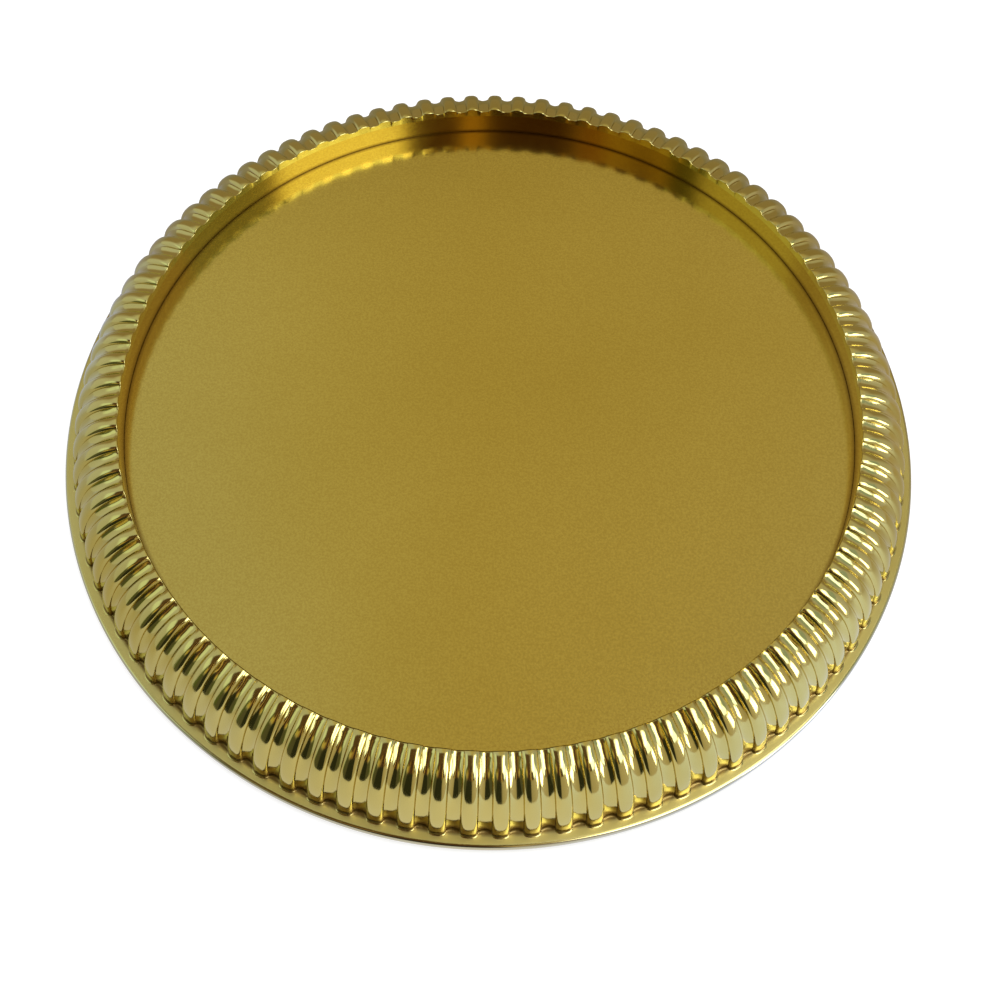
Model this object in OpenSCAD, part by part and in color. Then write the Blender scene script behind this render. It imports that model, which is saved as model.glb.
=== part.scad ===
// Round brass candle plate: a flat-floored well inside a raised border of radial gadroons,
// which falls to a narrow flange with a rolled, wired edge. Millimetres, +Z up, and the origin
// is at the middle of the base, on the table.

/* [Well] */
// Inside diameter of the well, across its upright wall
well_d = 152.6; // [130:0.1:180]
// Depth of the well, from the floor up to the crests of the gadroons
well_depth = 7.2; // [6:0.1:10]
// Height of the floor's upper face above the table
floor_h = 9.9; // [7:0.1:12]
// Width of the ledge that carries the floor disc, inwards from the wall
ledge_w = 4; // [2.5:0.1:8]
// Radius of the bend between the wall and its ledge, on the outside
bend_r = 1; // [0.8:0.1:1.2]

/* [Gadrooned border] */
// Number of gadroons round the border
lobe_count = 93; // [72:1:108]
// Radial width of the border, from the well's wall to the feet of the gadroons
border_w = 11.6; // [9.5:0.1:15]
// Fullness of the border's curve: 2 is a plain quarter ellipse, and more bulges further out
crest_fullness = 2.1; // [2:0.05:2.6]
// Share of the pitch that a gadroon takes; the flute beside it has the rest
lobe_share = 0.58; // [0.5:0.01:0.64]
// Height that a gadroon stands above the creases beside it
lobe_relief = 0.9; // [0.5:0.05:1.3]
// Height of a gadroon's shoulders, as a share of its relief
shoulder_share = 0.76; // [0.6:0.01:0.9]
// Depth of the hollow of a flute below the creases
flute_dip = 0.35; // [0.2:0.01:0.5]

/* [Flange and rolled edge] */
// Width of the flat flange that shows, from the gadroons' feet to the rolled edge
flange_w = 0.85; // [0.6:0.05:5]
// Width of the hidden part of the flange, under the border
flange_land = 3.5; // [2.5:0.1:6]
// Diameter of the wire that the edge is rolled round
wire_d = 0.8; // [0.6:0.05:1.5]
// Depth that the base of the rolled edge is lapped flat, so that the plate doesn't rock
lap_depth = 0.12; // [0.05:0.01:0.2]
// Height of the slot that is left open where the sheet's end meets the flange again
hem_slot = 0.4; // [0.2:0.05:0.5]

/* [Sheet and solder] */
// Thickness of the brass sheet
sheet_t = 0.7; // [0.6:0.05:0.8]
// Leg of each solder fillet
solder_leg = 0.9; // [0.5:0.05:1.2]
// Clearance of the floor disc inside the wall
disc_fit = 0.05; // [0.02:0.01:0.15]
// Clearance of the wire inside the rolled edge
wire_fit = 0.15; // [0.1:0.01:0.2]
// Clearance between a solder fillet and the curved back of the border
solder_gap = 0.2; // [0.15:0.01:0.3]

/* [Hidden] */
$fn = 180;

// Colours of the polished sheet, the satin floor, the drawn wire and the solder
polished_brass = [0.80, 0.68, 0.30];
satin_brass = [0.63, 0.53, 0.22];
wire_brass = [0.70, 0.56, 0.26];
solder_grey = [0.66, 0.64, 0.56];

// Well: its radii and the levels of the floor disc and its ledge
well_r = well_d / 2;
wall_out_r = well_r + sheet_t;
disc_r = well_r - disc_fit;
disc_bottom = floor_h - sheet_t;
ledge_bottom = disc_bottom - sheet_t;
ledge_r = well_r - ledge_w;

// Rolled edge: its outer and inner radius, and its centre
roll_bore_r = wire_d / 2 + wire_fit;
roll_r = roll_bore_r + sheet_t;
roll_z = roll_r - lap_depth;
flange_top = roll_z + roll_r;
flange_bottom = flange_top - sheet_t;

// Border: the crest's curve, and the depth of the sheet's back below it
crest_z = floor_h + well_depth;
crest_drop = crest_z - flange_top;
foot_r = well_r + border_w;
crease_depth = lobe_relief + flute_dip;
back_depth = crease_depth + sheet_t;
seat_z = crest_z - back_depth;
back_foot_r = foot_r - back_depth;
roll_centre_r = foot_r + flange_w;
flange_in_r = back_foot_r - flange_land;

// Mesh of the border: steps down the crest and down the back, and the back's first angle
crest_steps = 7;
back_steps = 5;
back_start = 15;
cutter = 1;

// One gadroon and its flute, as pairs of place in the pitch and height over the creases
section = [
    [0, 0],
    [lobe_share * 0.16, shoulder_share * lobe_relief],
    [lobe_share * 0.5, lobe_relief],
    [lobe_share * 0.84, shoulder_share * lobe_relief],
    [lobe_share, 0],
    [(1 + lobe_share) / 2, -flute_dip]
];
section_points = len(section);
ring_points = lobe_count * section_points;
pitch = 360 / lobe_count;

// The crest is a quarter of a full ellipse: level at the well, upright at the flange
crest_power = 2 / crest_fullness;
function rise(t) = pow(cos(t), crest_power);
function reach(t) = pow(sin(t), crest_power);
function crest(t) = [well_r + border_w * reach(t), crest_z - crest_drop * (1 - rise(t))];
function crest_slope(t) = [
    crest_drop * pow(sin(t), 2 - crest_power),
    border_w * pow(cos(t), 2 - crest_power)
];
function crest_normal(t) = crest_slope(t) / norm(crest_slope(t));
function below_crest(t, depth) = crest(t) - crest_normal(t) * depth;
function place(profile, angle) = [profile[0] * cos(angle), profile[0] * sin(angle), profile[1]];

// Rings of points: the gadrooned face has every point of the section, the back one per gadroon
function crest_angle(j) = 90 * j / crest_steps;
function face_ring(t) = [
    for (i = [0:lobe_count - 1], s = section)
        place(below_crest(t, lobe_relief - s[1]), (i + s[0]) * pitch)
];
function back_angle(j) = back_start + (90 - back_start) * j / back_steps;
function back_profile() = concat(
    [[well_r, seat_z], [wall_out_r, seat_z]],
    [for (j = [0:back_steps]) below_crest(back_angle(j), back_depth)]
);
function back_ring(profile) = [for (i = [0:lobe_count - 1]) place(profile, i * pitch)];

// Bands of triangles between two rings of n points that start at points a and b
function band(a, b, n) = [
    for (i = [0:n - 1])
        let (k = (i + 1) % n)
        each [[a + i, b + i, b + k], [a + i, b + k, a + k]]
];
function flip(faces) = [for (f = faces) [f[2], f[1], f[0]]];

// Fans between the fine ring at point a and the coarse ring at point b
function fan(a, b) = [
    for (i = [0:lobe_count - 1])
        let (
            half = section_points / 2,
            near = b + i,
            far = b + (i + 1) % lobe_count
        )
        each concat(
            [for (s = [0:section_points - 1])
                let (
                    p = i * section_points + s,
                    q = (p + 1) % ring_points
                )
                [a + p, s < half ? near : far, a + q]],
            [[a + i * section_points + half, near, far]]
        )
];

// Cross-section of the upright wall and the ledge under the floor disc
module wall_section() {
    difference() {
        union() {
            translate([well_r, ledge_bottom]) square([sheet_t, seat_z - ledge_bottom]);
            translate([ledge_r, ledge_bottom]) square([wall_out_r - ledge_r, sheet_t]);
        }
        translate([wall_out_r - bend_r, ledge_bottom]) difference() {
            translate([0, -cutter]) square([bend_r + cutter, bend_r + cutter]);
            translate([0, bend_r]) circle(r = bend_r);
        }
    }
}

// Cross-section of the flange, rolled under round the wire and lapped flat below
module flange_section() {
    difference() {
        union() {
            translate([flange_in_r, flange_bottom])
                square([roll_centre_r - flange_in_r, sheet_t]);
            translate([roll_centre_r, roll_z]) circle(r = roll_r);
        }
        translate([roll_centre_r, roll_z]) circle(r = roll_bore_r);
        translate([roll_centre_r - roll_r - cutter, flange_bottom - hem_slot])
            square([roll_r + cutter, hem_slot]);
        translate([roll_centre_r - roll_r - cutter, -cutter])
            square([2 * (roll_r + cutter), cutter]);
    }
}

// A ring of solder, from its corner and the ends of its two legs
module solder_ring(corner, along, up) {
    color(solder_grey) rotate_extrude() polygon([corner, along, up]);
}

module floor_disc() {
    color(satin_brass)
        translate([0, 0, disc_bottom]) cylinder(r = disc_r, h = sheet_t);
}

module well_wall() {
    color(polished_brass) rotate_extrude() wall_section();
}

module gadrooned_border() {
    back = back_profile();
    back_first = (crest_steps + 1) * ring_points;
    last_face = crest_steps * ring_points;
    last_back = back_first + (len(back) - 1) * lobe_count;
    points = concat(
        [for (j = [0:crest_steps]) each face_ring(crest_angle(j))],
        [for (profile = back) each back_ring(profile)]
    );
    face_bands = [
        for (j = [0:crest_steps - 1])
            each band(j * ring_points, (j + 1) * ring_points, ring_points)
    ];
    back_bands = [
        for (j = [0:len(back) - 2])
            let (start = back_first + j * lobe_count)
            each flip(band(start, start + lobe_count, lobe_count))
    ];
    nose = flip(fan(0, back_first));
    foot = fan(last_face, last_back);
    color(polished_brass)
        polyhedron(points, flip(concat(face_bands, back_bands, nose, foot)));
}

module base_flange() {
    color(polished_brass) rotate_extrude() flange_section();
}

module edge_wire() {
    color(wire_brass)
        rotate_extrude() translate([roll_centre_r, roll_z]) circle(d = wire_d);
}

module floor_seam() {
    corner = [ledge_r, disc_bottom];
    solder_ring(corner, corner - [solder_leg, 0], corner - [0, sheet_t]);
}

module crown_seam() {
    corner = [wall_out_r, seat_z - solder_gap];
    under_back = below_crest(back_start, back_depth) - [0, solder_gap];
    solder_ring(corner, under_back, corner - [0, solder_leg]);
}

module foot_seam() {
    corner = [back_foot_r - solder_gap, flange_top];
    solder_ring(corner, corner - [solder_leg, 0], corner + [0, solder_leg]);
}

floor_disc();
well_wall();
gadrooned_border();
base_flange();
edge_wire();
floor_seam();
crown_seam();
foot_seam();
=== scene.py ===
# Looks of a round brass candle plate: a satin floor in a polished well, a border of radial gadroons
# and a flat flange with a rolled edge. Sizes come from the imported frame, or are named here in millimetres.

import math

import bmesh
import bpy
from mathutils import Matrix, Vector, noise


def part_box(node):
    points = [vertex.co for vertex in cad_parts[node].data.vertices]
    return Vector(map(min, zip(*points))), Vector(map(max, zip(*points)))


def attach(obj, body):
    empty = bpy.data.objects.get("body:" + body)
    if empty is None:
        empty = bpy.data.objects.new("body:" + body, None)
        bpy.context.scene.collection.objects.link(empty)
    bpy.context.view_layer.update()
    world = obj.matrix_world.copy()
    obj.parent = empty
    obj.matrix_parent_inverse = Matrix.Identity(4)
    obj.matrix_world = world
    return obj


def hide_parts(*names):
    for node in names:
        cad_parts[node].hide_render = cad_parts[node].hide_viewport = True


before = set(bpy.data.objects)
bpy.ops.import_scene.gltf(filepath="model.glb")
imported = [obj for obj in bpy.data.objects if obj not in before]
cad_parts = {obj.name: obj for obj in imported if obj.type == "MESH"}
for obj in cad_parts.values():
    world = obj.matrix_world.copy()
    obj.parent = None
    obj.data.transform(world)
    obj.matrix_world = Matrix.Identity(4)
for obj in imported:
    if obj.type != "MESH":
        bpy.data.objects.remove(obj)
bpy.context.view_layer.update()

MM = 0.001
ROOT = "root"


# Sizes read from the frame

def radii(node):
    """Least and greatest distance of a CAD node's corners from the plate's axis."""
    reach = [math.hypot(v.co.x, v.co.y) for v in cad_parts[node].data.vertices]
    return min(reach), max(reach)


def heights(node):
    """Lowest and highest level of a CAD node."""
    low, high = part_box(node)
    return low.z, high.z


DISC_BOTTOM, FLOOR_Z = heights("floor_disc")
SHEET = FLOOR_Z - DISC_BOTTOM
LEDGE_R, WALL_OUT_R = radii("well_wall")
LEDGE_Z, SEAT_Z = heights("well_wall")
WELL_R = WALL_OUT_R - SHEET
FLANGE_TOP, CREST_Z = heights("gadrooned_border")
FOOT_R = radii("gadrooned_border")[1]
FLANGE_IN_R = radii("base_flange")[0]
WIRE_IN_R, WIRE_OUT_R = radii("edge_wire")
WIRE_LOW, WIRE_HIGH = heights("edge_wire")

# Sizes of the gadroons, as the border is pressed
GADROONS = 93
GADROON_SHARE = 0.58
RELIEF = 0.9 * MM
FLUTE_DIP = 0.35 * MM
GADROON_FULLNESS = 2.9
LOBE_POWER = 0.62
FLUTE_FULLNESS = 2.3
CREST_FULLNESS = 2.1
BACK_FOLLOWS = 0.8
FOOT_BLEND = 0.45 * MM

# Sizes of bends and broken edges
WALL_BEND = 1.0 * MM
EDGE_BREAK = 0.12 * MM
INNER_EDGE_BREAK = 0.22 * MM
INNER_EDGE_LEAN = 0.15
LEAN_REACH = 3.0 * MM
INNER_FADE = 0.5
HEM_SLOT = 0.4 * MM
ROLL_SQUARENESS = 5.0

# Where the finish changes on the rolled edge, out from the gadroons' feet
SATIN_END = 1.45 * MM
POLISH_START = 1.6 * MM
# A pale grey is painted on the roll from here out, as the white table's reflection
ROLL_GREY_START = 1.7 * MM
ROLL_GREY_FULL = 1.85 * MM

# Depth of the fine relief in each finish
RUB_DEPTH = 0.0035 * MM
BRUSH_DEPTH = 0.0022 * MM
SCRATCH_DEPTH = 0.004 * MM
SOLDER_GRAIN = 0.01 * MM

# Fineness of the meshes, and how close two corners lie before they are joined
TURN_STEPS = GADROONS * 5
ARC_STEPS = 6
SHARP_ANGLE = math.radians(40)
DOUBLE_GAP = 0.0005 * MM
SEAM_GAP = 0.001 * MM


# Node building

def node(tree, kind, inputs=None, **settings):
    """A node of this kind with its settings; inputs maps a socket's name or number to a value or a socket."""
    made = tree.nodes.new(kind)
    for name, value in settings.items():
        setattr(made, name, value)
    for key, value in (inputs or {}).items():
        if isinstance(value, bpy.types.NodeSocket):
            tree.links.new(value, made.inputs[key])
        else:
            made.inputs[key].default_value = value
    return made


def calc(tree, operation, *values, clamp=False):
    """The result of a Math node on values or sockets."""
    inputs = dict(enumerate(values))
    return node(tree, "ShaderNodeMath", inputs, operation=operation, use_clamp=clamp).outputs[0]


def times(tree, a, b):
    return calc(tree, "MULTIPLY", a, b)


def vector_calc(tree, operation, *values):
    """The vector result of a Vector Math node."""
    inputs = dict(enumerate(values))
    return node(tree, "ShaderNodeVectorMath", inputs, operation=operation).outputs[0]


def ramp(tree, factor, stops):
    """Colour or grey by position; stops are (position, colour) pairs."""
    made = node(tree, "ShaderNodeValToRGB", {"Fac": factor})
    elements = made.color_ramp.elements
    while len(elements) < len(stops):
        elements.new(1.0)
    for element, (position, colour) in zip(elements, stops):
        element.position = position
        element.color = grey(colour) if isinstance(colour, (int, float)) else colour
    return made.outputs["Color"]


def grey(level):
    return (level, level, level, 1.0)


def mix_colour(tree, factor, a, b, blend="MIX"):
    made = node(tree, "ShaderNodeMix", {0: factor, 6: a, 7: b}, data_type="RGBA", blend_type=blend)
    return made.outputs[2]


def from_srgb(red, green, blue):
    """A linear colour from the 0 to 255 values of a screen."""
    def linear(level):
        share = level / 255
        return share / 12.92 if share <= 0.04045 else ((share + 0.055) / 1.055) ** 2.4
    return (linear(red), linear(green), linear(blue), 1.0)


# Colours of the brass and the solder, of their tarnish, of a pale grey painted on the rolled edge as the
# white table's reflection, and of a brown painted as shade in the corners
BRASS_LIGHT = from_srgb(218, 202, 126)
BRASS_DEEP = from_srgb(210, 190, 108)
WALL_LIGHT = from_srgb(208, 180, 96)
WALL_DEEP = from_srgb(198, 168, 80)
BRASS_SHADE = from_srgb(184, 154, 78)
# A pale grey painted on the outer rolled edge as the white table's reflection
ROLL_REFLECTION_GREY = from_srgb(206, 198, 168)
# A brown painted as shade in the corners: at the gadroons' feet, the wall's foot and the floor's rim
CORNER_SHADE_BROWN = from_srgb(126, 96, 46)
FLOOR_LIGHT = from_srgb(213, 188, 99)
FLOOR_DEEP = from_srgb(207, 181, 91)
FLOOR_GRAIN = from_srgb(172, 138, 56)
FLOOR_SPECK = from_srgb(96, 74, 32)
SOLDER_LIGHT = from_srgb(178, 174, 160)
SOLDER_DARK = from_srgb(128, 118, 92)


# Brass and solder

def polar_coordinates(tree):
    """The place of a point on the plate in Object coordinates, and its radius, angle and height."""
    place = node(tree, "ShaderNodeTexCoord").outputs["Object"]
    parts = node(tree, "ShaderNodeSeparateXYZ", {0: place}).outputs
    flat = node(tree, "ShaderNodeCombineXYZ", {0: parts[0], 1: parts[1]}).outputs[0]
    radius = node(tree, "ShaderNodeVectorMath", {0: flat}, operation="LENGTH").outputs["Value"]
    angle = calc(tree, "ARCTAN2", parts[1], parts[0])
    return place, radius, angle, parts[2]


def new_material(name):
    made = bpy.data.materials.new(name)
    made.use_nodes = True
    made.node_tree.nodes.clear()
    return made, made.node_tree


def finish_metal(tree, colour, roughness, bump_height, bump_distance, bump_strength=1.0):
    """The metal shader and its bump, joined to the material's output."""
    bump = node(tree, "ShaderNodeBump", {
        "Strength": bump_strength,
        "Distance": bump_distance,
        "Height": bump_height,
    })
    shader = node(tree, "ShaderNodeBsdfPrincipled", {
        "Base Color": colour,
        "Metallic": 1.0,
        "Roughness": roughness,
        "Normal": bump.outputs[0],
    })
    node(tree, "ShaderNodeOutputMaterial", {"Surface": shader.outputs[0]})


def band(tree, value, start, end):
    """0 up to start and 1 from end on; the two may stand in either order."""
    return calc(tree, "DIVIDE", calc(tree, "SUBTRACT", value, start), end - start, clamp=True)


def painted_corner_shade(tree, radius, height):
    """Painted shade in the corners, in brown: in and round the gadroons' feet, and at the foot of the well's
    wall.
    """
    outline = band(tree, height, FLANGE_TOP + 1.3 * MM, FLANGE_TOP + 0.4 * MM)
    outline = times(tree, outline, band(tree, height, FLANGE_TOP, FLANGE_TOP + 0.08 * MM))
    outline = times(tree, outline, band(tree, radius, FOOT_R + 0.6 * MM, FOOT_R + 0.4 * MM))
    hollow = band(tree, height, FLANGE_TOP + 2.0 * MM, FLANGE_TOP + 0.8 * MM)
    hollow = times(tree, hollow, band(tree, radius, FOOT_R + 0.1 * MM, FOOT_R - 0.5 * MM))
    wall_foot = band(tree, height, FLOOR_Z + 0.7 * MM, FLOOR_Z)
    wall_foot = times(tree, wall_foot, band(tree, radius, WALL_OUT_R + 0.3 * MM, WALL_OUT_R))
    feet = calc(tree, "MAXIMUM", times(tree, outline, 0.75), times(tree, hollow, 0.8))
    return feet, times(tree, wall_foot, 0.5)


def polished_brass(name, light, deep, tarnish_depth, dullness, bump_strength, along_gadroons):
    """Hand-polished brass: rubbed along the gadroons or round the plate, cloudy, with brown painted shade in
    the corners and a pale grey painted reflection on the rolled edge.
    """
    made, tree = new_material(name)
    place, radius, angle, height = polar_coordinates(tree)
    clouds = node(tree, "ShaderNodeTexNoise", {
        "Vector": place, "Scale": 42.0, "Detail": 4.0, "Roughness": 0.6,
    }).outputs["Fac"]
    rub_scales = (70.0, 330.0, 70.0) if along_gadroons else (5200.0, 26.0, 5200.0)
    rubbed = node(tree, "ShaderNodeCombineXYZ", {
        0: times(tree, radius, rub_scales[0]),
        1: times(tree, angle, rub_scales[1]),
        2: times(tree, height, rub_scales[2]),
    }).outputs[0]
    marks = node(tree, "ShaderNodeTexNoise", {
        "Vector": rubbed, "Scale": 1.0, "Detail": 3.0, "Roughness": 0.65,
    }).outputs["Fac"]
    waves = node(tree, "ShaderNodeTexNoise", {
        "Vector": place, "Scale": 260.0, "Detail": 1.0,
    }).outputs["Fac"]
    clean = mix_colour(tree, ramp(tree, clouds, [(0.3, 0.0), (0.7, 1.0)]), deep, light)
    stain = times(tree, ramp(tree, clouds, [(0.58, 0.0), (0.82, 1.0)]), tarnish_depth)
    # Pale grey painted on the outer rolled edge as the white table's reflection
    roll_grey = band(tree, radius, FOOT_R + ROLL_GREY_START, FOOT_R + ROLL_GREY_FULL)
    colour = mix_colour(tree, stain, clean, BRASS_SHADE)
    colour = mix_colour(tree, roll_grey, colour, ROLL_REFLECTION_GREY)
    # Brown painted as shade in the corners; the same mask also roughens them
    corner_shade = calc(tree, "MAXIMUM", *painted_corner_shade(tree, radius, height))
    colour = mix_colour(tree, corner_shade, colour, CORNER_SHADE_BROWN)
    inside_edge = band(tree, radius, FOOT_R + POLISH_START, FOOT_R + SATIN_END)
    edge_dullness = 0.03
    dulled = calc(tree, "MULTIPLY_ADD", inside_edge, dullness - edge_dullness, edge_dullness)
    roughness = calc(tree, "MULTIPLY_ADD", clouds, 0.05, dulled)
    roughness = calc(tree, "MULTIPLY_ADD", marks, 0.05, roughness)
    roughness = calc(tree, "MULTIPLY_ADD", corner_shade, 0.25, roughness)
    rub_relief = times(tree, marks, 1.6 if along_gadroons else 1.0)
    relief = calc(tree, "MULTIPLY_ADD", waves, 2.2, rub_relief)
    finish_metal(tree, colour, roughness, relief, RUB_DEPTH, bump_strength)
    return made


def satin_brass(name):
    """The floor's finish: brushed one way, with fine grain, cloudy patches and a few tiny specks."""
    made, tree = new_material(name)
    place, radius, angle, height = polar_coordinates(tree)
    stretched = node(tree, "ShaderNodeMapping", {"Vector": place, "Scale": (70.0, 2600.0, 1.0)}).outputs[0]
    brushed = node(tree, "ShaderNodeTexNoise", {
        "Vector": stretched, "Scale": 1.0, "Detail": 4.0, "Roughness": 0.7,
    }).outputs["Fac"]
    grain = node(tree, "ShaderNodeTexNoise", {
        "Vector": place, "Scale": 2300.0, "Detail": 2.0,
    }).outputs["Fac"]
    clouds = node(tree, "ShaderNodeTexNoise", {
        "Vector": place, "Scale": 17.0, "Detail": 4.0, "Roughness": 0.55,
    }).outputs["Fac"]
    cells = node(tree, "ShaderNodeTexVoronoi", {"Vector": place, "Scale": 26.0, "Randomness": 1.0})
    specks = ramp(tree, cells.outputs["Distance"], [(0.0, 1.0), (0.013, 0.9), (0.02, 0.0)])
    base = mix_colour(tree, ramp(tree, clouds, [(0.32, 0.0), (0.68, 1.0)]), FLOOR_DEEP, FLOOR_LIGHT)
    grain_depth = ramp(tree, grain, [(0.35, 0.0), (0.65, 0.34)])
    textured = mix_colour(tree, grain_depth, base, FLOOR_GRAIN)
    colour = mix_colour(tree, times(tree, specks, 0.6), textured, FLOOR_SPECK)
    # Brown painted as shade on the floor along the foot of the wall
    floor_edge_shade = band(tree, radius, WELL_R - 0.9 * MM, WELL_R - 0.1 * MM)
    colour = mix_colour(tree, times(tree, floor_edge_shade, 0.7), colour, CORNER_SHADE_BROWN)
    roughness = calc(tree, "MULTIPLY_ADD", brushed, 0.06, calc(tree, "MULTIPLY_ADD", clouds, 0.04, 0.1))
    relief = calc(tree, "ADD", brushed, times(tree, grain, 0.6))
    finish_metal(tree, colour, roughness, relief, BRUSH_DEPTH)
    return made


def drawn_wire(name):
    """Wire drawn through a die: fine scratches run along it, round the plate."""
    made, tree = new_material(name)
    place, radius, angle, height = polar_coordinates(tree)
    along = node(tree, "ShaderNodeCombineXYZ", {
        0: times(tree, radius, 9000.0),
        1: times(tree, angle, 8.0),
        2: times(tree, height, 9000.0),
    }).outputs[0]
    scratches = node(tree, "ShaderNodeTexNoise", {
        "Vector": along, "Scale": 1.0, "Detail": 2.0,
    }).outputs["Fac"]
    colour = mix_colour(tree, scratches, BRASS_SHADE, BRASS_DEEP)
    roughness = calc(tree, "MULTIPLY_ADD", scratches, 0.2, 0.25)
    finish_metal(tree, colour, roughness, scratches, SCRATCH_DEPTH)
    return made


def soft_solder(name):
    """Dull soft solder with a brownish bloom of old flux."""
    made, tree = new_material(name)
    place = node(tree, "ShaderNodeTexCoord").outputs["Object"]
    bloom = node(tree, "ShaderNodeTexNoise", {
        "Vector": place, "Scale": 160.0, "Detail": 4.0, "Roughness": 0.6,
    }).outputs["Fac"]
    grain = node(tree, "ShaderNodeTexNoise", {"Vector": place, "Scale": 1900.0, "Detail": 2.0}).outputs["Fac"]
    colour = mix_colour(tree, ramp(tree, bloom, [(0.35, 0.0), (0.7, 1.0)]), SOLDER_LIGHT, SOLDER_DARK)
    roughness = calc(tree, "MULTIPLY_ADD", bloom, 0.25, 0.3)
    finish_metal(tree, colour, roughness, grain, SOLDER_GRAIN)
    return made


# Turned pieces

def arc(centre, radius, start, end, steps=ARC_STEPS):
    """Points on an arc in the plane of the section, from one angle to another, in degrees."""
    turns = [math.radians(start + (end - start) * i / steps) for i in range(steps + 1)]
    return [(centre[0] + radius * math.cos(a), centre[1] + radius * math.sin(a)) for a in turns]


def turned(name, section, ripple=None):
    """A closed section of (radius, height) points turned round the plate's axis."""
    mesh = bmesh.new()
    rings = []
    for step in range(TURN_STEPS):
        angle = 2 * math.pi * step / TURN_STEPS
        ring = []
        for index, (radius, height) in enumerate(section):
            shift = ripple(index, angle) if ripple else 0.0
            reach = radius + shift
            ring.append(mesh.verts.new((reach * math.cos(angle), reach * math.sin(angle), height)))
        rings.append(ring)
    points = len(section)
    for step, ring in enumerate(rings):
        following = rings[(step + 1) % TURN_STEPS]
        for i in range(points):
            j = (i + 1) % points
            mesh.faces.new((ring[i], following[i], following[j], ring[j]))
    return shaded(name, mesh)


def shaded(name, mesh):
    """The finished object: normals outwards, smooth faces and crisp edges where the surface turns sharply."""
    bmesh.ops.remove_doubles(mesh, verts=mesh.verts, dist=DOUBLE_GAP)
    bmesh.ops.recalc_face_normals(mesh, faces=mesh.faces)
    for face in mesh.faces:
        face.smooth = True
    for edge in mesh.edges:
        edge.smooth = len(edge.link_faces) == 2 and edge.calc_face_angle(0.0) < SHARP_ANGLE
    data = bpy.data.meshes.new(name)
    mesh.to_mesh(data)
    mesh.free()
    made = bpy.data.objects.new(name, data)
    bpy.context.scene.collection.objects.link(made)
    return made


def dress(piece, material, slot, *nodes):
    """Gives a piece its material, hangs it on the root body and hides the CAD nodes it stands for; slot is
    not used.
    """
    piece.data.materials.clear()
    piece.data.materials.append(material)
    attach(piece, ROOT)
    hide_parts(*nodes)
    return piece


def dress_node(name, material):
    """Gives a CAD node that shows as it is its material."""
    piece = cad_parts[name]
    piece.data.materials.clear()
    piece.data.materials.append(material)
    return piece


def wall_section():
    """The upright wall over its ledge, bent at the foot, with its edges just broken."""
    bend_centre = (WALL_OUT_R - WALL_BEND, LEDGE_Z + WALL_BEND)
    return [
        (LEDGE_R, LEDGE_Z + SHEET),
        (LEDGE_R, LEDGE_Z + EDGE_BREAK),
        (LEDGE_R + EDGE_BREAK, LEDGE_Z),
        *arc(bend_centre, WALL_BEND, -90, 0),
        (WALL_OUT_R, SEAT_Z),
        (WELL_R, SEAT_Z),
        (WELL_R, FLOOR_Z),
        (WELL_R, LEDGE_Z + SHEET),
    ]


def planished(roll, roll_r, steps=16):
    """The outer upper quarter of the rolled edge, hammered flatter on top than a plain round."""
    points = []
    for step in range(steps):
        turn = math.pi / 2 * step / steps
        reach = math.sin(turn) ** (2 / ROLL_SQUARENESS)
        rise = math.cos(turn) ** (2 / ROLL_SQUARENESS)
        points.append((roll[0] + roll_r * reach, roll[1] + roll_r * rise))
    return points


def flange_section():
    """The flat flange, then the edge rolled down, in and up round its wire, lapped flat where it stands."""
    roll = ((WIRE_IN_R + WIRE_OUT_R) / 2, (WIRE_LOW + WIRE_HIGH) / 2)
    roll_r = FLANGE_TOP - roll[1]
    bore_r = roll_r - SHEET
    end_rise = bore_r - HEM_SLOT
    outer_end = -180 - math.degrees(math.asin(end_rise / roll_r))
    inner_end = -180 - math.degrees(math.asin(end_rise / bore_r))
    outside = [*planished(roll, roll_r), *arc(roll, roll_r, 0, outer_end, steps=30)]
    inside = arc(roll, bore_r, inner_end, 90, steps=24)
    return [
        (FLANGE_IN_R, FLANGE_TOP - EDGE_BREAK),
        (FLANGE_IN_R + EDGE_BREAK, FLANGE_TOP),
        (FOOT_R, FLANGE_TOP),
        *[(r, max(z, 0.0)) for r, z in outside],
        *inside,
        (FLANGE_IN_R, FLANGE_TOP - SHEET),
    ]


def solder_section(corner, along, up):
    """A hollow-faced fillet between two faces that meet at the corner."""
    corner, along, up = Vector(corner), Vector(along), Vector(up)
    slack = 0.32
    middle = (along + up) / 2
    face = []
    for i in range(ARC_STEPS + 1):
        share = i / ARC_STEPS
        line = along.lerp(up, share)
        pull = slack * math.sin(math.pi * share)
        face.append(tuple(line + (corner - middle) * pull))
    return [tuple(corner), *face]


def solder_ripple(reach):
    """How far the solder's free face wanders in and out along the seam."""
    amount = 0.14 * MM
    waves = 9.0

    def shift(index, angle):
        if index in (0, 1, ARC_STEPS + 1):
            return 0.0
        place = Vector((math.cos(angle), math.sin(angle), reach)) * waves
        return amount * noise.noise(place)
    return shift


# Gadrooned border, by rule

LOBE_COLUMNS = 13
FLUTE_COLUMNS = 7
EDGE_ROWS = 5
FACE_ROWS = 21
BLEND_ROWS = 4
FOOT_ROWS = 1
BACK_ROWS = 7
NOSE_ROWS = 2

BORDER_SIZES = (
    "Well radius", "Border width", "Crest height", "Crest drop", "Crest fullness", "Relief", "Flute dip",
    "Gadroon share", "Fullness", "Sheet", "Back follows", "Edge break", "Edge lean", "Lean reach",
    "Edge fade", "Foot blend",
)


def stage_of(tree, around, first, rows):
    """How far a point has come through one stretch of the closed strip, from 0 to 1."""
    return calc(tree, "DIVIDE", calc(tree, "SUBTRACT", around, float(first)), float(rows), clamp=True)


def quarter(tree, share):
    """Sine and cosine of a share of a right angle."""
    turn = times(tree, share, math.pi / 2)
    return calc(tree, "SINE", turn), calc(tree, "COSINE", turn)


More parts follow.
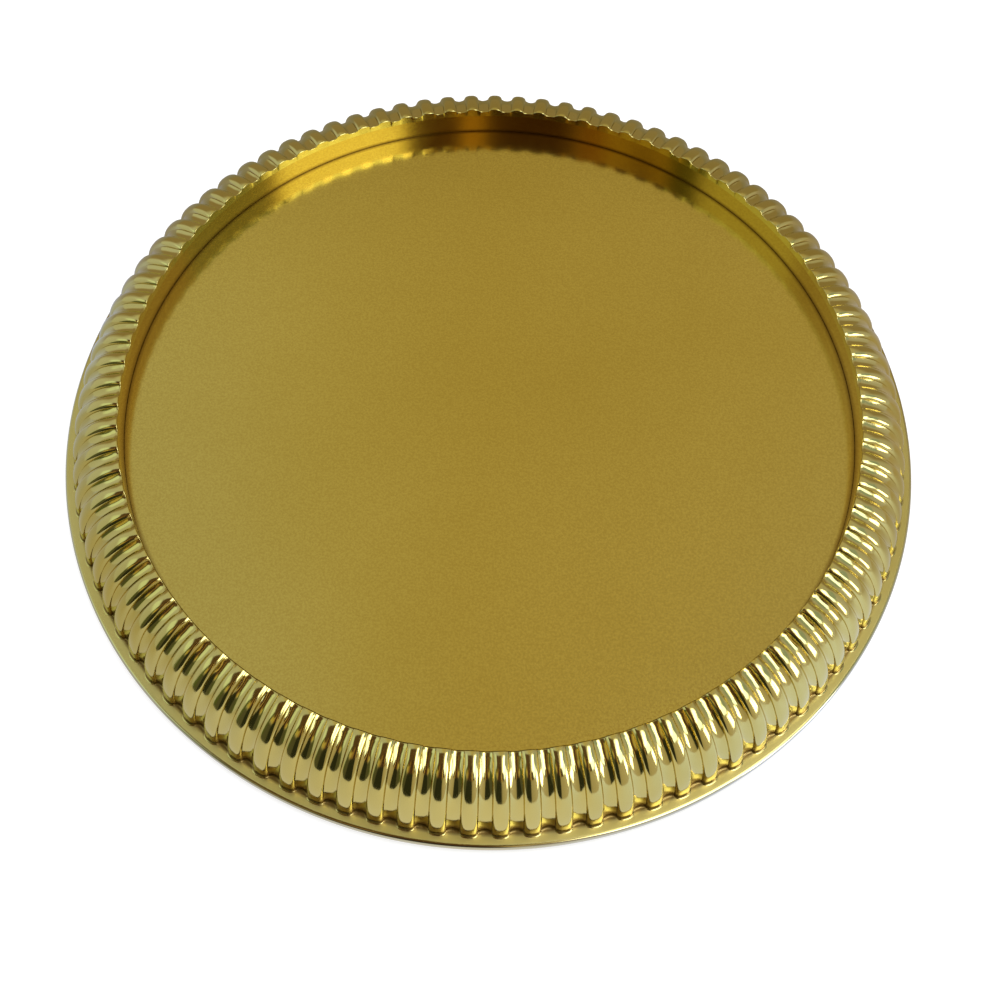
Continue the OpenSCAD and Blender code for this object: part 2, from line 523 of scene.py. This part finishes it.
def border_tree():
    """A node tree that presses a gadroon and its flute as a closed strip, and repeats it round the plate."""
    tree = bpy.data.node_groups.new("gadrooned_border_rule", "GeometryNodeTree")
    tree.is_modifier = True
    face = tree.interface
    face.new_socket("Geometry", in_out="INPUT", socket_type="NodeSocketGeometry")
    face.new_socket("Geometry", in_out="OUTPUT", socket_type="NodeSocketGeometry")
    kinds = {"Gadroons": "NodeSocketInt", "Material": "NodeSocketMaterial"}
    sockets = {}
    for name in ("Gadroons", *BORDER_SIZES, "Material"):
        kind = kinds.get(name, "NodeSocketFloat")
        sockets[name] = face.new_socket(name, in_out="INPUT", socket_type=kind).identifier
    given = node(tree, "NodeGroupInput").outputs
    columns = LOBE_COLUMNS + FLUTE_COLUMNS
    face_first = EDGE_ROWS
    blend_first = face_first + FACE_ROWS
    foot_first = blend_first + BLEND_ROWS
    back_first = foot_first + FOOT_ROWS
    nose_first = back_first + BACK_ROWS
    rows = nose_first + NOSE_ROWS
    strip = node(tree, "GeometryNodeMeshGrid", {
        "Size X": 1.0, "Size Y": 1.0, "Vertices X": columns + 1, "Vertices Y": rows + 1,
    }).outputs["Mesh"]
    position = node(tree, "GeometryNodeInputPosition").outputs[0]
    place = node(tree, "ShaderNodeSeparateXYZ", {0: position}).outputs
    across = calc(tree, "ADD", place[0], 0.5)
    around = times(tree, calc(tree, "ADD", place[1], 0.5), float(rows))

    # Place across the pitch, closer together beside the creases, and the gadroon's height there
    lobe_end = LOBE_COLUMNS / columns
    lobe_step = calc(tree, "DIVIDE", across, lobe_end, clamp=True)
    flute_step = calc(tree, "DIVIDE", calc(tree, "SUBTRACT", across, lobe_end), 1 - lobe_end, clamp=True)
    lobe_x = times(tree, calc(tree, "COSINE", times(tree, lobe_step, math.pi)), -1.0)
    lobe_place = times(tree, calc(tree, "MULTIPLY_ADD", lobe_x, 0.5, 0.5), given["Gadroon share"])
    flute_share = calc(tree, "SUBTRACT", 1.0, given["Gadroon share"])
    in_pitch = calc(tree, "MULTIPLY_ADD", flute_step, flute_share, lobe_place)
    side = calc(tree, "POWER", calc(tree, "ABSOLUTE", lobe_x), given["Fullness"])
    lobe_height = calc(tree, "POWER", calc(tree, "SUBTRACT", 1.0, side, clamp=True), LOBE_POWER)
    flute_x = calc(tree, "MULTIPLY_ADD", flute_step, 2.0, -1.0)
    flute_side = calc(tree, "POWER", calc(tree, "ABSOLUTE", flute_x), FLUTE_FULLNESS)
    hollow = calc(tree, "SUBTRACT", 1.0, flute_side, clamp=True)
    raised = times(tree, lobe_height, given["Relief"])
    height = calc(tree, "SUBTRACT", raised, times(tree, hollow, given["Flute dip"]))

    # Place round the strip: over the inner edge, down the face, out at the foot, up the back, over the nose
    edge_part = stage_of(tree, around, 0, EDGE_ROWS)
    face_part = stage_of(tree, around, face_first, FACE_ROWS)
    blend_part = stage_of(tree, around, blend_first, BLEND_ROWS)
    inward = stage_of(tree, around, foot_first, FOOT_ROWS)
    back_part = stage_of(tree, around, back_first, BACK_ROWS)
    outward = stage_of(tree, around, nose_first, NOSE_ROWS)
    depth_share = calc(tree, "SUBTRACT", inward, outward)
    on_face = calc(tree, "SUBTRACT", 1.0, depth_share)

    # The full ellipse of the crest, as far as the edge's round at one end and the foot's blend at the other
    power = calc(tree, "DIVIDE", 2.0, given["Crest fullness"])
    root = calc(tree, "DIVIDE", 1.0, power)
    edge_share = calc(tree, "DIVIDE", given["Edge break"], given["Border width"])
    foot_share = calc(tree, "DIVIDE", given["Foot blend"], given["Crest drop"])
    first_fall = calc(tree, "ARCSINE", calc(tree, "POWER", edge_share, root))
    last_fall = calc(tree, "ARCCOSINE", calc(tree, "POWER", foot_share, root))
    fall_range = calc(tree, "SUBTRACT", last_fall, first_fall)
    face_fall = calc(tree, "MULTIPLY_ADD", fall_range, face_part, first_fall)
    back_fall = times(tree, calc(tree, "SUBTRACT", 1.0, back_part), math.pi / 2)
    fall_change = calc(tree, "SUBTRACT", back_fall, face_fall)
    fall = calc(tree, "MULTIPLY_ADD", fall_change, inward, face_fall)
    sine = calc(tree, "SINE", fall)
    cosine = calc(tree, "COSINE", fall)
    run = times(tree, calc(tree, "POWER", sine, power), given["Border width"])
    rise = times(tree, calc(tree, "POWER", cosine, power), given["Crest drop"])

    # Its normal, and how deep the surface lies below the crest
    leaning = calc(tree, "SUBTRACT", fall, times(tree, first_fall, calc(tree, "SUBTRACT", 1.0, face_part)))
    other_power = calc(tree, "SUBTRACT", 2.0, power)
    lean_sine = calc(tree, "POWER", calc(tree, "SINE", leaning), other_power)
    lean_cosine = calc(tree, "POWER", calc(tree, "COSINE", leaning), other_power)
    slope_r = times(tree, lean_sine, given["Crest drop"])
    slope_z = times(tree, lean_cosine, given["Border width"])
    slope = calc(tree, "SQRT", calc(tree, "MULTIPLY_ADD", slope_r, slope_r, times(tree, slope_z, slope_z)))
    near_edge = calc(tree, "SUBTRACT", 1.0, calc(tree, "DIVIDE", run, given["Lean reach"]), clamp=True)
    near_inner_edge = times(tree, near_edge, near_edge)
    kept = calc(tree, "SUBTRACT", 1.0, times(tree, near_inner_edge, given["Edge fade"]))
    face_depth = times(tree, calc(tree, "SUBTRACT", given["Relief"], height), kept)
    full_depth = calc(tree, "ADD", calc(tree, "ADD", given["Relief"], given["Flute dip"]), given["Sheet"])
    follow = times(tree, calc(tree, "SMOOTH_MIN", times(tree, sine, 2.5), 1.0, 0.2), given["Back follows"])
    followed = times(tree, calc(tree, "ADD", height, given["Flute dip"]), follow)
    back_depth = calc(tree, "SUBTRACT", full_depth, followed)
    depth_change = calc(tree, "SUBTRACT", back_depth, face_depth)
    depth = calc(tree, "MULTIPLY_ADD", depth_change, depth_share, face_depth)
    inset_r = times(tree, calc(tree, "DIVIDE", slope_r, slope), depth)
    inset_z = times(tree, calc(tree, "DIVIDE", slope_z, slope), depth)

    # The inner edge is broken to a small round and leans out under the crowns; the foot is blended out
    edge_sine, edge_cosine = quarter(tree, edge_part)
    blend_sine, blend_cosine = quarter(tree, blend_part)
    edge_in = times(tree, times(tree, edge_cosine, given["Edge break"]), on_face)
    edge_down = times(tree, times(tree, calc(tree, "SUBTRACT", 1.0, edge_sine), given["Edge break"]), on_face)
    lean_share = times(tree, near_inner_edge, on_face)
    lean_height = times(tree, calc(tree, "ADD", height, given["Flute dip"]), given["Edge lean"])
    lean_height = times(tree, lean_height, kept)
    foot_out = times(tree, calc(tree, "SUBTRACT", 1.0, blend_cosine), given["Foot blend"])
    foot_down = times(tree, blend_sine, given["Foot blend"])
    radius = calc(tree, "ADD", given["Well radius"], calc(tree, "SUBTRACT", run, inset_r))
    radius = calc(tree, "SUBTRACT", radius, edge_in)
    radius = calc(tree, "MULTIPLY_ADD", lean_height, lean_share, radius)
    radius = calc(tree, "MULTIPLY_ADD", foot_out, calc(tree, "SUBTRACT", 1.0, inward), radius)
    radius = calc(tree, "MAXIMUM", radius, given["Well radius"])
    foot_level = calc(tree, "SUBTRACT", given["Crest height"], given["Crest drop"])
    level = calc(tree, "SUBTRACT", calc(tree, "ADD", foot_level, rise), inset_z)
    level = calc(tree, "SUBTRACT", level, edge_down)
    level = calc(tree, "SUBTRACT", level, times(tree, foot_down, calc(tree, "SUBTRACT", 1.0, inward)))
    level = calc(tree, "MAXIMUM", level, foot_level)

    # Wrapped round the axis, then repeated
    pitch = calc(tree, "DIVIDE", 2 * math.pi, given["Gadroons"])
    angle = times(tree, in_pitch, pitch)
    pressed = node(tree, "ShaderNodeCombineXYZ", {
        0: times(tree, radius, calc(tree, "COSINE", angle)),
        1: times(tree, radius, calc(tree, "SINE", angle)),
        2: level,
    }).outputs[0]
    one = node(tree, "GeometryNodeSetPosition", {"Geometry": strip, "Position": pressed}).outputs[0]
    stations = node(tree, "GeometryNodeMeshLine", {"Count": given["Gadroons"], "Offset": (0.0, 0.0, 0.0)})
    turn = times(tree, node(tree, "GeometryNodeInputIndex").outputs[0], pitch)
    turned_by = node(tree, "ShaderNodeCombineXYZ", {2: turn}).outputs[0]
    copies = node(tree, "GeometryNodeInstanceOnPoints", {
        "Points": stations.outputs[0], "Instance": one, "Rotation": turned_by,
    }).outputs[0]
    real = node(tree, "GeometryNodeRealizeInstances", {0: copies}).outputs[0]
    joined = node(tree, "GeometryNodeMergeByDistance", {"Geometry": real, "Distance": SEAM_GAP}).outputs[0]
    coated = node(tree, "GeometryNodeSetMaterial", {"Geometry": joined, "Material": given["Material"]})
    node(tree, "NodeGroupOutput", {0: coated.outputs[0]})
    return tree, sockets


def baked(name, tree, sockets, sizes):
    """A plain mesh object from a node tree and its inputs."""
    carrier = bpy.data.objects.new(name + "_rule", bpy.data.meshes.new(name + "_rule"))
    bpy.context.scene.collection.objects.link(carrier)
    modifier = carrier.modifiers.new("rule", "NODES")
    modifier.node_group = tree
    for label, value in sizes.items():
        modifier[sockets[label]] = value
    graph = bpy.context.evaluated_depsgraph_get()
    data = bpy.data.meshes.new_from_object(carrier.evaluated_get(graph))
    carrier.modifiers.remove(modifier)
    bpy.data.objects.remove(carrier)
    mesh = bmesh.new()
    mesh.from_mesh(data)
    return shaded(name, mesh)


def gadrooned_border(material):
    """The border's node tree at the plate's own sizes, as a plain mesh."""
    tree, sockets = border_tree()
    sizes = {
        "Gadroons": GADROONS,
        "Well radius": WELL_R,
        "Border width": FOOT_R - WELL_R,
        "Crest height": CREST_Z,
        "Crest drop": CREST_Z - FLANGE_TOP,
        "Crest fullness": CREST_FULLNESS,
        "Relief": RELIEF,
        "Flute dip": FLUTE_DIP,
        "Gadroon share": GADROON_SHARE,
        "Fullness": GADROON_FULLNESS,
        "Sheet": SHEET,
        "Back follows": BACK_FOLLOWS,
        "Edge break": INNER_EDGE_BREAK,
        "Edge lean": INNER_EDGE_LEAN,
        "Lean reach": LEAN_REACH,
        "Edge fade": INNER_FADE,
        "Foot blend": FOOT_BLEND,
        "Material": material,
    }
    return baked("pressed_border", tree, sockets, sizes)


# Studio: a white table, a pale light tent with its dark opening and windows, and one soft lamp

TENT_RADIUS = 1.6
TABLE_SIZE = 8.0
TABLE_GLOW = 0.75
TABLE_MATT = 0.4
LAMP_SIZE = 0.9
LAMP_WATTS = 9.0
LAMP_PLACE = Vector((0.25, 0.2, 1.1))


def tent_directions(tree):
    """Where a point of the tent lies, in degrees, in two ways: round the plate, and over it.

    Round: azimuth from the front, to the right, and elevation. Over: sideways to the right, and how far
    over from the front's horizon, with 90 overhead and 180 at the back's horizon.
    """
    place = node(tree, "ShaderNodeTexCoord").outputs["Object"]
    unit = vector_calc(tree, "NORMALIZE", place)
    x, y, z = node(tree, "ShaderNodeSeparateXYZ", {0: unit}).outputs
    front = times(tree, y, -1.0)
    to_degrees = 180 / math.pi
    azimuth = times(tree, calc(tree, "ARCTAN2", x, front), to_degrees)
    elevation = times(tree, calc(tree, "ARCSINE", z), to_degrees)
    sideways = times(tree, calc(tree, "ARCSINE", x), to_degrees)
    over = times(tree, calc(tree, "ARCTAN2", z, front), to_degrees)
    return {"round": (azimuth, elevation), "over": (sideways, over)}


def window(tree, place, across, upwards, soft):
    """1 inside a rectangle of the tent and 0 outside it; across and upwards are its limits in degrees."""
    sides = []
    for socket, (low, high) in zip(place, (across, upwards)):
        middle = (low + high) / 2
        half = (high - low) / 2
        away = calc(tree, "ABSOLUTE", calc(tree, "SUBTRACT", socket, middle))
        sides.append(calc(tree, "DIVIDE", calc(tree, "SUBTRACT", half + soft, away), 2 * soft, clamp=True))
    return times(tree, *sides)


# The tent's own tone round the plate: degrees from the front, to the right
TENT_ROUND = [
    (-180, (0.56, 0.50, 0.28)),
    (-165, (0.60, 0.58, 0.40)),
    (-150, (0.60, 0.64, 0.62)),
    (-110, (0.58, 0.64, 0.70)),
    (-70, (0.55, 0.60, 0.62)),
    (-45, (0.42, 0.40, 0.28)),
    (0, (0.42, 0.38, 0.28)),
    (30, (0.55, 0.50, 0.40)),
    (76, (0.62, 0.64, 0.75)),
    (100, (0.52, 0.52, 0.55)),
    (128, (0.52, 0.52, 0.50)),
    (157, (0.57, 0.52, 0.33)),
    (180, (0.56, 0.50, 0.28)),
]

# Panels of the tent: name, how it is placed, colour, limits across and upwards in degrees, softness
PANELS = [
    ("dim low back", "round", (0.33, 0.27, 0.17), (118, 242), (-20, 44), 7.0),
    ("dim low back, left of the seam", "round", (0.33, 0.27, 0.17), (-242, -130), (-20, 44), 7.0),
    ("pale upper left", "round", (0.80, 1.0, 1.0), (-106, -66), (38, 60), 4.0),
    ("dim upper right", "round", (0.36, 0.46, 0.52), (74, 110), (38, 66), 1.0),
    ("dark low left", "round", (0.10, 0.105, 0.07), (-64, -28), (-6, 38), 3.0),
    ("olive upper left", "round", (0.58, 0.50, 0.18), (-56, -30), (41, 66), 1.5),
    ("green curtain on the left", "round", (0.10, 0.13, 0.04), (-65, -55), (4, 64), 1.0),
    ("white window overhead", "over", (4.6, 4.8, 5.4), (11, 27), (57, 97), 3.0),
    ("white window, right half", "over", (4.6, 4.8, 5.4), (24, 40), (57, 68), 2.0),
    ("upper window", "round", (2.1, 2.6, 3.4), (28, 71), (43, 58), 1.5),
    ("orange gap", "round", (0.8, 0.6, 0.24), (3, 11), (42, 66), 0.7),
    ("brown post", "round", (0.09, 0.045, 0.03), (11, 28), (42, 59), 0.7),
    ("brown overhead", "over", (0.12, 0.075, 0.04), (-28, 4), (60, 97), 1.5),
    ("opening for the camera", "round", (0.03, 0.034, 0.022), (-34, 6), (-10, 46), 1.5),
    ("brown over the opening", "round", (0.075, 0.04, 0.027), (-24, 4), (44, 72), 2.0),
    ("orange over the opening", "round", (0.36, 0.22, 0.07), (-34, -25), (42, 66), 1.5),
    ("window", "round", (6.0, 6.2, 6.6), (52, 74), (9, 36), 1.0),
    ("window post", "round", (0.5, 0.5, 0.45), (62, 64), (9, 36), 0.5),
]


def round_ramp(tree, azimuth, stops):
    """A colour by the direction round the plate, from stops of degrees and colour."""
    placed = [((degrees + 180) / 360, (*colour, 1.0)) for degrees, colour in stops]
    return ramp(tree, calc(tree, "MULTIPLY_ADD", azimuth, 1 / 360, 0.5), placed)


def tent_material():
    made, tree = new_material("light_tent")
    places = tent_directions(tree)
    colour = round_ramp(tree, places["round"][0], TENT_ROUND)
    for label, way, panel, across, upwards, soft in PANELS:
        inside = window(tree, places[way], across, upwards, soft)
        colour = mix_colour(tree, inside, colour, (*panel, 1.0))
    glow = node(tree, "ShaderNodeEmission", {"Color": colour, "Strength": 1.0})
    node(tree, "ShaderNodeOutputMaterial", {"Surface": glow.outputs[0]})
    return made


def light_tent():
    """The tent round the plate, which only its mirrors show."""
    mesh = bmesh.new()
    bmesh.ops.create_uvsphere(mesh, u_segments=64, v_segments=32, radius=TENT_RADIUS)
    data = bpy.data.meshes.new("light_tent")
    mesh.to_mesh(data)
    mesh.free()
    tent = bpy.data.objects.new("light_tent", data)
    bpy.context.scene.collection.objects.link(tent)
    tent.data.materials.append(tent_material())
    tent.visible_camera = False
    tent.visible_diffuse = False
    tent.visible_shadow = False


# What the table shows in reflections: pale in front, bluish under the window, dim behind
TABLE_ROUND = [
    (-180, (0.26, 0.22, 0.12)),
    (-140, (0.30, 0.29, 0.25)),
    (-120, (0.37, 0.36, 0.40)),
    (-105, (0.52, 0.59, 0.85)),
    (-90, (0.47, 0.49, 0.50)),
    (-60, (0.53, 0.51, 0.40)),
    (-40, (0.63, 0.64, 0.67)),
    (0, (0.79, 0.78, 0.75)),
    (30, (0.77, 0.85, 1.05)),
    (48, (0.82, 0.93, 1.25)),
    (62, (0.77, 0.83, 0.98)),
    (76, (0.52, 0.50, 0.46)),
    (92, (0.48, 0.41, 0.26)),
    (107, (0.50, 0.46, 0.48)),
    (140, (0.30, 0.27, 0.20)),
    (180, (0.26, 0.22, 0.12)),
]


def rays_that_see(tree):
    """1 for the camera's own rays, and 1 for these and all mirrored or refracted rays."""
    rays = node(tree, "ShaderNodeLightPath").outputs
    to_camera = rays["Is Camera Ray"]
    mirrored = calc(tree, "MAXIMUM", rays["Is Glossy Ray"], rays["Is Transmission Ray"])
    return to_camera, calc(tree, "MAXIMUM", to_camera, mirrored)


def table_material():
    """White to the camera; in reflections it follows TABLE_ROUND, and the plate's own shadow is kept."""
    made, tree = new_material("white_table")
    to_camera, seen = rays_that_see(tree)
    azimuth = tent_directions(tree)["round"][0]
    reflected = round_ramp(tree, azimuth, TABLE_ROUND)
    shown = mix_colour(tree, to_camera, reflected, grey(TABLE_GLOW))
    matt_colour = mix_colour(tree, to_camera, grey(0.0), grey(TABLE_MATT))
    matt = node(tree, "ShaderNodeBsdfDiffuse", {"Color": matt_colour})
    glow = node(tree, "ShaderNodeEmission", {"Color": shown, "Strength": seen})
    both = node(tree, "ShaderNodeAddShader", {0: matt.outputs[0], 1: glow.outputs[0]})
    node(tree, "ShaderNodeOutputMaterial", {"Surface": both.outputs[0]})
    return made


def table():
    bpy.ops.mesh.primitive_plane_add(size=TABLE_SIZE, location=(0.0, 0.0, 0.0))
    top = bpy.context.active_object
    top.name = "white_table"
    top.data.materials.append(table_material())


def studio_world():
    """White to the camera and in mirrors, and half as strong as a light."""
    made = bpy.data.worlds.new("studio")
    bpy.context.scene.world = made
    made.use_nodes = True
    tree = made.node_tree
    tree.nodes.clear()
    seen = rays_that_see(tree)[1]
    strength = calc(tree, "MULTIPLY_ADD", seen, 0.5, 0.5)
    sky = node(tree, "ShaderNodeBackground", {"Color": grey(1.0), "Strength": strength})
    node(tree, "ShaderNodeOutputWorld", {"Surface": sky.outputs[0]})


def lamp():
    """A soft lamp over the plate, which no mirror shows."""
    data = bpy.data.lights.new("soft_lamp", "AREA")
    data.shape = "DISK"
    data.size = LAMP_SIZE
    data.energy = LAMP_WATTS
    made = bpy.data.objects.new("soft_lamp", data)
    made.location = LAMP_PLACE
    made.rotation_euler = LAMP_PLACE.to_track_quat("Z", "Y").to_euler()
    made.visible_glossy = False
    bpy.context.scene.collection.objects.link(made)


# The camera stands where the photograph's perspective puts it, a little above and in front

CAMERA_DISTANCE = 320.0 * MM
CAMERA_ELEVATION = math.radians(59.09)
CAMERA_ROLL = math.radians(1.84)
CAMERA_AZIMUTH = math.radians(-0.76)
IMAGE_SIZE = 1000
FOCAL_PIXELS = 1520.8
PRINCIPAL_POINT = (490.7, 408.3)
SENSOR = 36.0


def camera():
    level, height = math.cos(CAMERA_ELEVATION), math.sin(CAMERA_ELEVATION)
    back = Vector((0.0, -level, height))
    right = Vector((1.0, 0.0, 0.0))
    up = Vector((0.0, height, level))
    rolled_right = math.cos(CAMERA_ROLL) * right + math.sin(CAMERA_ROLL) * up
    rolled_up = math.cos(CAMERA_ROLL) * up - math.sin(CAMERA_ROLL) * right
    turn = Matrix((rolled_right, rolled_up, back)).transposed().to_4x4()
    stand = Matrix.Translation(back * CAMERA_DISTANCE + Vector((0.0, 0.0, FLOOR_Z)))
    data = bpy.data.cameras.new("camera")
    data.sensor_width = SENSOR
    data.lens = FOCAL_PIXELS / IMAGE_SIZE * SENSOR
    data.shift_x = (IMAGE_SIZE / 2 - PRINCIPAL_POINT[0]) / IMAGE_SIZE
    data.shift_y = (PRINCIPAL_POINT[1] - IMAGE_SIZE / 2) / IMAGE_SIZE
    data.clip_start = 0.01
    made = bpy.data.objects.new("camera", data)
    bpy.context.scene.collection.objects.link(made)
    made.matrix_world = Matrix.Rotation(CAMERA_AZIMUTH, 4, "Z") @ stand @ turn
    bpy.context.scene.camera = made


def plate():
    """Every piece of the plate, in its finish."""
    flange_finish = polished_brass(
        "polished_flange", BRASS_LIGHT, BRASS_DEEP,
        tarnish_depth=0.35, dullness=0.24, bump_strength=0.1, along_gadroons=False)
    wall_finish = polished_brass(
        "polished_wall", WALL_LIGHT, WALL_DEEP,
        tarnish_depth=0.35, dullness=0.01, bump_strength=0.7, along_gadroons=False)
    border_finish = polished_brass(
        "polished_border", BRASS_LIGHT, BRASS_DEEP,
        tarnish_depth=0.2, dullness=0.06, bump_strength=1.0, along_gadroons=True)
    satin = satin_brass("satin_brass")
    wire = drawn_wire("drawn_wire")
    solder = soft_solder("soft_solder")
    dress_node("floor_disc", satin)
    dress_node("edge_wire", wire)
    dress(turned("polished_wall", wall_section()), wall_finish, "polished_brass", "well_wall")
    dress(turned("rolled_flange", flange_section()), flange_finish, "polished_brass", "base_flange")
    dress(gadrooned_border(border_finish), border_finish, "polished_brass", "gadrooned_border")
    for name, corner_at, along_at in (
        ("floor_seam", (1, 1), (0, 1)),
        ("crown_seam", (0, 1), (1, 1)),
        ("foot_seam", (1, 0), (0, 0)),
    ):
        solder_bead(name, corner_at, along_at, solder)


def solder_bead(name, corner_at, along_at, material):
    """A solder seam in its CAD node's place: corner_at and along_at pick a corner of its section's box."""
    sides = radii(name)
    levels = heights(name)
    corner = (sides[corner_at[0]], levels[corner_at[1]])
    along = (sides[along_at[0]], levels[along_at[1]])
    up = (corner[0], levels[1 - corner_at[1]])
    section = solder_section(corner, along, up)
    bead = turned(name + "_bead", section, solder_ripple(corner[0]))
    dress(bead, material, "solder", name)


bpy.context.scene.view_settings.view_transform = "Standard"
camera()
studio_world()
lamp()
table()
light_tent()
plate()
